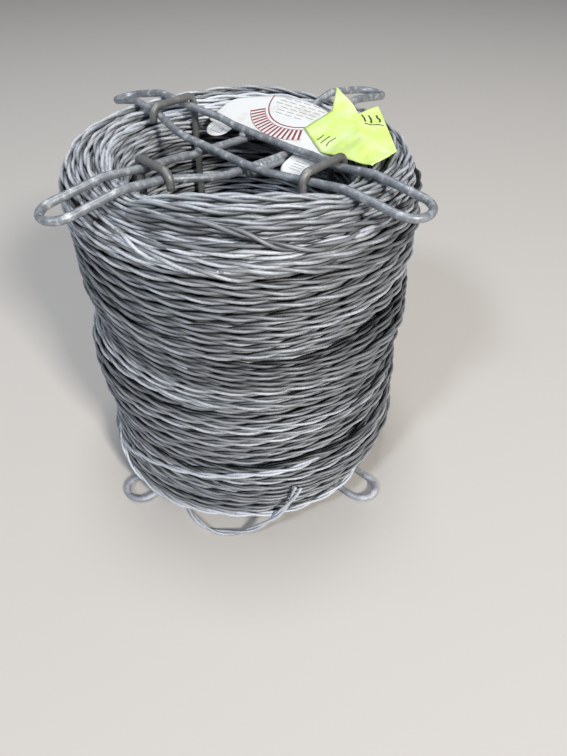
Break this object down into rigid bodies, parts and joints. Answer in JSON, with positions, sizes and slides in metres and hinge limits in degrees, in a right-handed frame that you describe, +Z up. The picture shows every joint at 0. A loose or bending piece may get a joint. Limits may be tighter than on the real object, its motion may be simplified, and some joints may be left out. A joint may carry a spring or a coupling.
{
  "type": "spool of barbless wire",
  "caption": "Coil of plain twisted two-strand fence wire wound on a rod carrier, with closed rod loops crossed over both ends for lifting and paying out.",
  "frame": {"origin": "on the floor, under the axis of the coil", "axes": "+Z up along the axis of the coil, +X along link A, the upper of the two crossed links on the top end"},
  "size_m": [0.3112, 0.3102, 0.3076],
  "materials": {
    "wire": "weathered galvanised, dull, with chalky white patches",
    "carrier_rod": "weathered galvanised, mottled blue-grey",
    "core_rod": "weathered galvanised, duller and slightly rusty",
    "card": "white coated card, matt, a little dirty",
    "tag": "fluorescent yellow-green paper, crumpled"
  },
  "bodies": {
    "root": {"wire_coil": "wire", "wire_tail": "wire", "top_link_a": "carrier_rod", "top_link_b": "carrier_rod", "bottom_link_a": "carrier_rod", "bottom_link_b": "carrier_rod", "core_rod_1": "core_rod", "core_rod_2": "core_rod", "core_rod_3": "core_rod", "core_rod_4": "core_rod", "label_card": "card", "lot_tag": "tag"}
  },
  "joints": []
}
